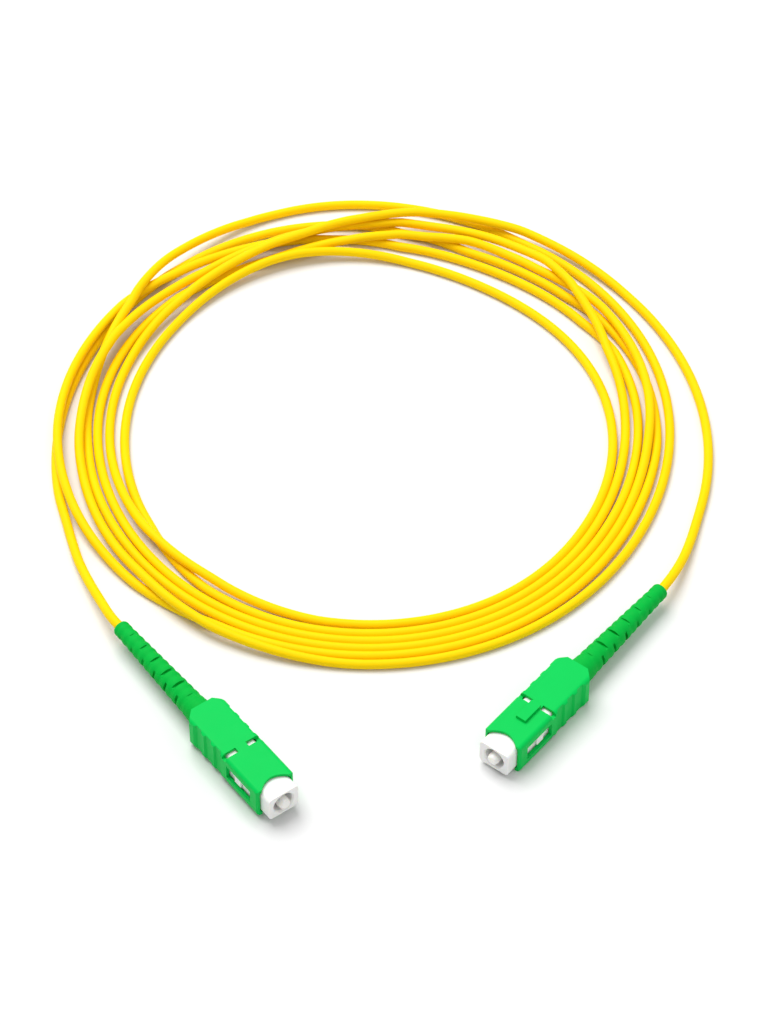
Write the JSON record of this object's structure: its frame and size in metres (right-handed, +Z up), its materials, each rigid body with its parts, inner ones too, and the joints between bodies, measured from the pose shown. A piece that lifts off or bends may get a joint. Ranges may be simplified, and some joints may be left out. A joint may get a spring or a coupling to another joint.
{
  "type": "fiber optic patch cord",
  "caption": "Simplex single-mode patch cord: push-pull angled plugs with tapered boots on both ends of a round jacketed cable wound in a flat coil.",
  "frame": {"origin": "on the resting surface, at the bottom centre of the box around the two connectors", "axes": "+Z up, +X from connector a to connector b, +Y from the connectors towards the coil"},
  "size_m": [0.1416, 0.1799, 0.0081],
  "materials": {
    "housing_green": "moulded green plastic, satin",
    "boot_green": "soft moulded green elastomer, matte",
    "frame_white": "moulded white plastic, satin",
    "ferrule_ceramic": "polished white ceramic",
    "nickel": "turned, nickel plated",
    "spring_steel": "drawn stainless wire",
    "crimp_brass": "plated crimp sleeve",
    "jacket_yellow": "extruded yellow jacket, satin",
    "buffer_white": "tight buffer, satin"
  },
  "bodies": {
    "cord": {"plug_frame_a": "frame_white", "spring_a": "spring_steel", "stop_ring_a": "nickel", "crimp_sleeve_a": "crimp_brass", "boot_a": "boot_green", "cable_end_a": "jacket_yellow", "fiber_buffer_a": "buffer_white", "plug_frame_b": "frame_white", "spring_b": "spring_steel", "stop_ring_b": "nickel", "crimp_sleeve_b": "crimp_brass", "boot_b": "boot_green", "cable_end_b": "jacket_yellow", "fiber_buffer_b": "buffer_white", "cable_coil": "jacket_yellow", "cable_lead_a": "jacket_yellow", "cable_lead_b": "jacket_yellow"},
    "sleeve_a": {"housing_a": "housing_green"},
    "sleeve_b": {"housing_b": "housing_green"},
    "ferrule_set_a": {"ferrule_a": "ferrule_ceramic", "ferrule_flange_a": "nickel"},
    "ferrule_set_b": {"ferrule_b": "ferrule_ceramic", "ferrule_flange_b": "nickel"}
  },
  "joints": [
    {"name": "sleeve_a_pull", "type": "slide", "parent": "cord", "child": "sleeve_a", "axis": [-0.6018, 0.7986, 0], "range_m": [0, 0.002]},
    {"name": "sleeve_b_pull", "type": "slide", "parent": "cord", "child": "sleeve_b", "axis": [0.6225, 0.7826, 0], "range_m": [0, 0.002]},
    {"name": "ferrule_a_press", "type": "slide", "parent": "cord", "child": "ferrule_set_a", "axis": [-0.6018, 0.7986, 0], "range_m": [0, 0.001], "stiffness_N_per_m": 2500, "springref_m": -0.001, "deforming": ["spring_a"]},
    {"name": "ferrule_b_press", "type": "slide", "parent": "cord", "child": "ferrule_set_b", "axis": [0.6225, 0.7826, 0], "range_m": [0, 0.001], "stiffness_N_per_m": 2500, "springref_m": -0.001, "deforming": ["spring_b"]}
  ]
}
